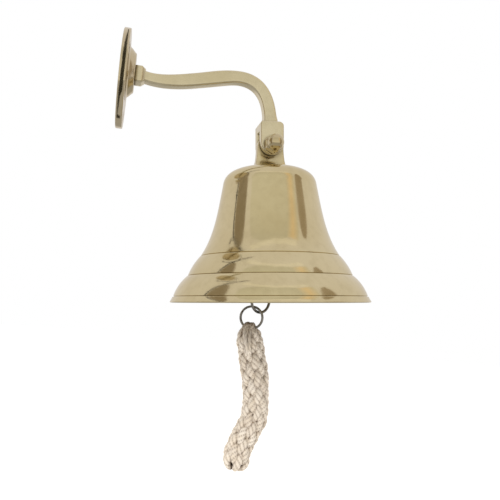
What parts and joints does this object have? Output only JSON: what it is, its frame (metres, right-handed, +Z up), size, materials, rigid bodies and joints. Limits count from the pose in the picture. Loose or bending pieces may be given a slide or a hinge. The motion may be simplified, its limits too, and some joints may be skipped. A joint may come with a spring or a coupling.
{
  "type": "ship bell",
  "caption": "Wall-mounted brass ship bell: round plate, curved arm with a forked head, flared bell on a pivot bolt, hanging clapper and a braided cotton lanyard.",
  "frame": {"origin": "centre of the wall plate's back face, where it meets the wall", "axes": "+X out of the wall, +Z up, +Y along the wall"},
  "size_m": [0.2017, 0.15, 0.3145],
  "materials": {
    "brass_bell": "polished",
    "brass_bracket": "satin polished casting",
    "brass_clapper": "turned",
    "zinc_steel": "zinc plated",
    "dark_nickel": "dark nickel wire",
    "cotton_rope": "natural braided cotton"
  },
  "bodies": {
    "bracket": {"wall_plate": "brass_bracket", "hub_boss": "brass_bracket", "bracket_arm": "brass_bracket", "arm_screw": "zinc_steel", "pivot_bolt": "brass_bracket", "pivot_washers": "brass_bracket", "acorn_nut": "brass_bracket"},
    "bell": {"crown_hanger": "brass_bell", "bell_cup": "brass_bell", "eye_bolt": "zinc_steel", "crown_washer": "zinc_steel", "crown_nut": "zinc_steel"},
    "link": {"clapper_link": "zinc_steel"},
    "clapper": {"clapper_rod": "brass_clapper", "clapper_ball": "brass_clapper", "tail_eye": "brass_clapper"},
    "pull_ring": {"clapper_ring": "dark_nickel"},
    "key_ring": {"split_ring": "dark_nickel"},
    "lanyard": {"lanyard_loop": "cotton_rope", "lanyard_braid": "cotton_rope", "lanyard_knot": "cotton_rope"}
  },
  "joints": [
    {"name": "bell_swing", "type": "hinge", "parent": "bracket", "child": "bell", "pos_m": [0.117, 0, -0.037], "axis": [0, -1, 0], "range_deg": [-24, 50]},
    {"name": "clapper_swing", "type": "hinge", "parent": "bell", "child": "link", "pos_m": [0.11969, 0, -0.07004], "axis": [0, -1, 0], "range_deg": [-22, 30]},
    {"name": "clapper_sway", "type": "hinge", "parent": "link", "child": "clapper", "pos_m": [0.11969, 0, -0.07798], "axis": [1, 0, 0], "range_deg": [-12, 12]},
    {"name": "ring_swing", "type": "hinge", "parent": "clapper", "child": "pull_ring", "pos_m": [0.11969, 0, -0.1447], "axis": [0.866, 0.5, 0], "range_deg": [-6, 6]},
    {"name": "split_ring_swing", "type": "hinge", "parent": "pull_ring", "child": "key_ring", "pos_m": [0.11683, -0.00165, -0.16207], "axis": [0.8058, 0.4652, -0.3665], "range_deg": [-8, 8]},
    {"name": "lanyard_swing", "type": "hinge", "parent": "key_ring", "child": "lanyard", "pos_m": [0.11262, -0.00011, -0.17502], "axis": [0.9305, -0.3387, -0.1392], "range_deg": [-12, 12]}
  ]
}
